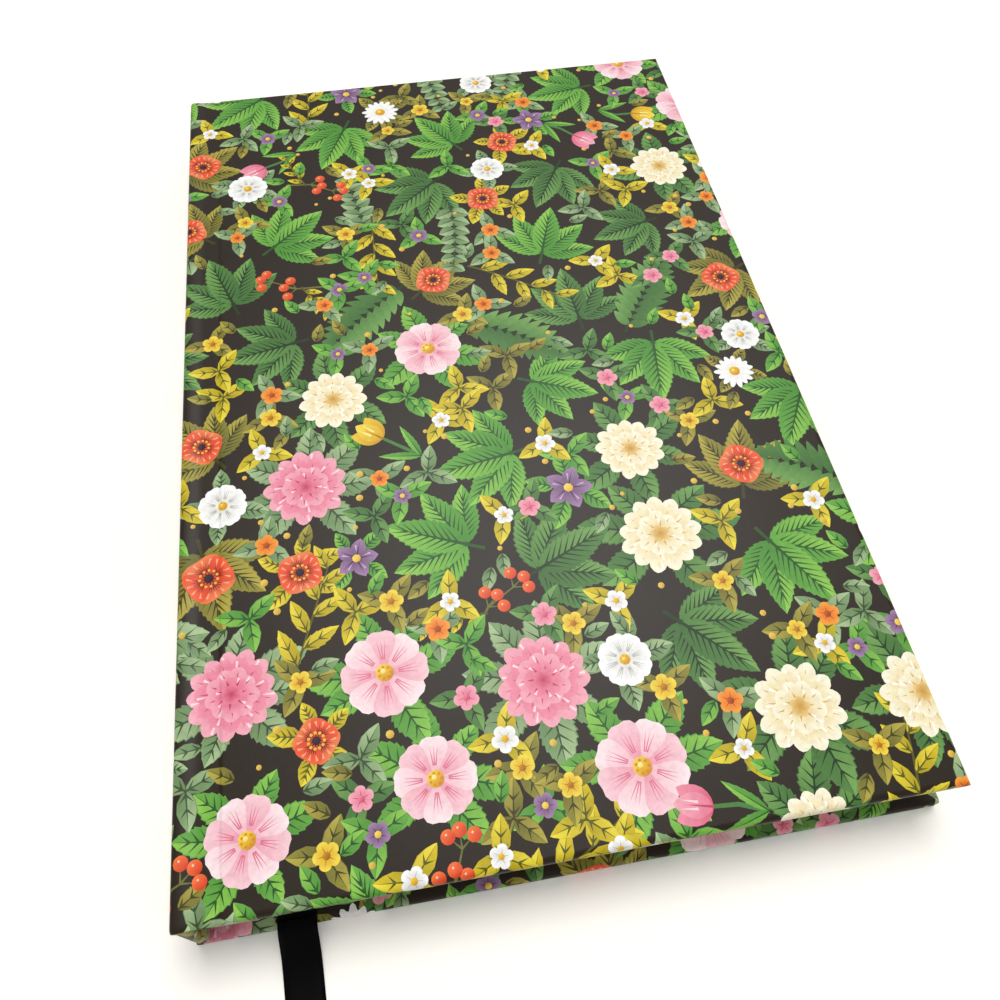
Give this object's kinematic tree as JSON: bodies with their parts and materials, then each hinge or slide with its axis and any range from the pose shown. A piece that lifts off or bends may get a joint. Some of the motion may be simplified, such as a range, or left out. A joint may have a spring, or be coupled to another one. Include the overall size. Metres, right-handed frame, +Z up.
{
  "type": "hardcover notebook",
  "caption": "Closed case-bound notebook with a printed floral cover, a square spine, a sewn block of pages and a ribbon bookmark lying out at the tail.",
  "frame": {"origin": "middle of the closed case's footprint, on the surface that the back cover lies on", "axes": "+Z up through the front cover, +Y towards the head, +X towards the fore-edge, spine at -X"},
  "size_m": [0.14, 0.2918, 0.0154],
  "materials": {
    "printed_paper": "gloss laminated print",
    "greyboard": "matte",
    "endpaper": "matte",
    "page": "matte",
    "mull": "open weave",
    "kraft_paper": "matte",
    "thread": "twisted",
    "headband": "woven",
    "ribbon": "satin"
  },
  "bodies": {
    "back_cover": {"back_board": "greyboard", "back_cover_paper": "printed_paper", "back_pastedown": "endpaper", "back_mull_flap": "mull", "ribbon_run": "ribbon", "ribbon_tail": "ribbon"},
    "spine": {"spine_board": "greyboard", "spine_cover_paper": "printed_paper", "spine_liner": "kraft_paper", "spine_mull": "mull", "headband": "headband", "tailband": "headband", "sewing_thread_1": "thread", "sewing_thread_2": "thread", "sewing_thread_3": "thread", "sewing_thread_4": "thread", "sewing_thread_5": "thread", "ribbon_anchor": "ribbon"},
    "front_cover": {"front_board": "greyboard", "front_cover_paper": "printed_paper", "front_pastedown": "endpaper", "front_mull_flap": "mull"},
    "front_leaf": {"front_flyleaf": "endpaper"},
    "section_01": {"signature_01": "page"},
    "section_02": {"signature_02": "page"},
    "section_03": {"signature_03": "page"},
    "section_04": {"signature_04": "page"},
    "section_05": {"signature_05": "page"},
    "section_06": {"signature_06": "page"},
    "section_07": {"signature_07": "page"},
    "section_08": {"signature_08": "page"},
    "section_09": {"signature_09": "page"},
    "section_10": {"signature_10": "page"},
    "section_11": {"signature_11": "page"},
    "section_12": {"signature_12": "page"},
    "back_leaf": {"back_flyleaf": "endpaper"}
  },
  "joints": [
    {"name": "back_joint", "type": "hinge", "parent": "back_cover", "child": "spine", "pos_m": [-0.0697, 0, 0.0003], "axis": [0, -1, 0], "range_deg": [0, 90]},
    {"name": "front_joint", "type": "hinge", "parent": "spine", "child": "front_cover", "pos_m": [-0.0697, 0, 0.01512], "axis": [0, -1, 0], "range_deg": [0, 90]},
    {"name": "front_leaf_turn", "type": "hinge", "parent": "spine", "child": "front_leaf", "pos_m": [-0.06615, 0, 0.01202], "axis": [0, -1, 0], "range_deg": [0, 90]},
    {"name": "section_01_turn", "type": "hinge", "parent": "spine", "child": "section_01", "pos_m": [-0.06615, 0, 0.01202], "axis": [0, -1, 0], "range_deg": [0, 90]},
    {"name": "section_02_turn", "type": "hinge", "parent": "spine", "child": "section_02", "pos_m": [-0.06615, 0, 0.01202], "axis": [0, -1, 0], "range_deg": [0, 90]},
    {"name": "section_03_turn", "type": "hinge", "parent": "spine", "child": "section_03", "pos_m": [-0.06615, 0, 0.01202], "axis": [0, -1, 0], "range_deg": [0, 90]},
    {"name": "section_04_turn", "type": "hinge", "parent": "spine", "child": "section_04", "pos_m": [-0.06615, 0, 0.01202], "axis": [0, -1, 0], "range_deg": [0, 90]},
    {"name": "section_05_turn", "type": "hinge", "parent": "spine", "child": "section_05", "pos_m": [-0.06615, 0, 0.01202], "axis": [0, -1, 0], "range_deg": [0, 90]},
    {"name": "section_06_turn", "type": "hinge", "parent": "spine", "child": "section_06", "pos_m": [-0.06615, 0, 0.01202], "axis": [0, -1, 0], "range_deg": [0, 90]},
    {"name": "section_07_turn", "type": "hinge", "parent": "spine", "child": "section_07", "pos_m": [-0.06615, 0, 0.00364], "axis": [0, 1, 0], "range_deg": [0, 90]},
    {"name": "section_08_turn", "type": "hinge", "parent": "spine", "child": "section_08", "pos_m": [-0.06615, 0, 0.00364], "axis": [0, 1, 0], "range_deg": [0, 90]},
    {"name": "section_09_turn", "type": "hinge", "parent": "spine", "child": "section_09", "pos_m": [-0.06615, 0, 0.00364], "axis": [0, 1, 0], "range_deg": [0, 90]},
    {"name": "section_10_turn", "type": "hinge", "parent": "spine", "child": "section_10", "pos_m": [-0.06615, 0, 0.00364], "axis": [0, 1, 0], "range_deg": [0, 90]},
    {"name": "section_11_turn", "type": "hinge", "parent": "spine", "child": "section_11", "pos_m": [-0.06615, 0, 0.00364], "axis": [0, 1, 0], "range_deg": [0, 90]},
    {"name": "section_12_turn", "type": "hinge", "parent": "spine", "child": "section_12", "pos_m": [-0.06615, 0, 0.00364], "axis": [0, 1, 0], "range_deg": [0, 90]},
    {"name": "back_leaf_turn", "type": "hinge", "parent": "spine", "child": "back_leaf", "pos_m": [-0.06615, 0, 0.00364], "axis": [0, 1, 0], "range_deg": [0, 90]}
  ],
  "couplings": [
    {"joint": "front_leaf_turn", "follows": "front_joint", "ratio": 0.98},
    {"joint": "section_01_turn", "follows": "front_joint", "ratio": 0.96},
    {"joint": "section_02_turn", "follows": "front_joint", "ratio": 0.94},
    {"joint": "section_03_turn", "follows": "front_joint", "ratio": 0.92},
    {"joint": "section_04_turn", "follows": "front_joint", "ratio": 0.9},
    {"joint": "section_05_turn", "follows": "front_joint", "ratio": 0.88},
    {"joint": "section_06_turn", "follows": "front_joint", "ratio": 0.85},
    {"joint": "section_07_turn", "follows": "back_joint", "ratio": 0.85},
    {"joint": "section_08_turn", "follows": "back_joint", "ratio": 0.88},
    {"joint": "section_09_turn", "follows": "back_joint", "ratio": 0.9},
    {"joint": "section_10_turn", "follows": "back_joint", "ratio": 0.92},
    {"joint": "section_11_turn", "follows": "back_joint", "ratio": 0.94},
    {"joint": "section_12_turn", "follows": "back_joint", "ratio": 0.96},
    {"joint": "back_leaf_turn", "follows": "back_joint", "ratio": 0.98}
  ]
}
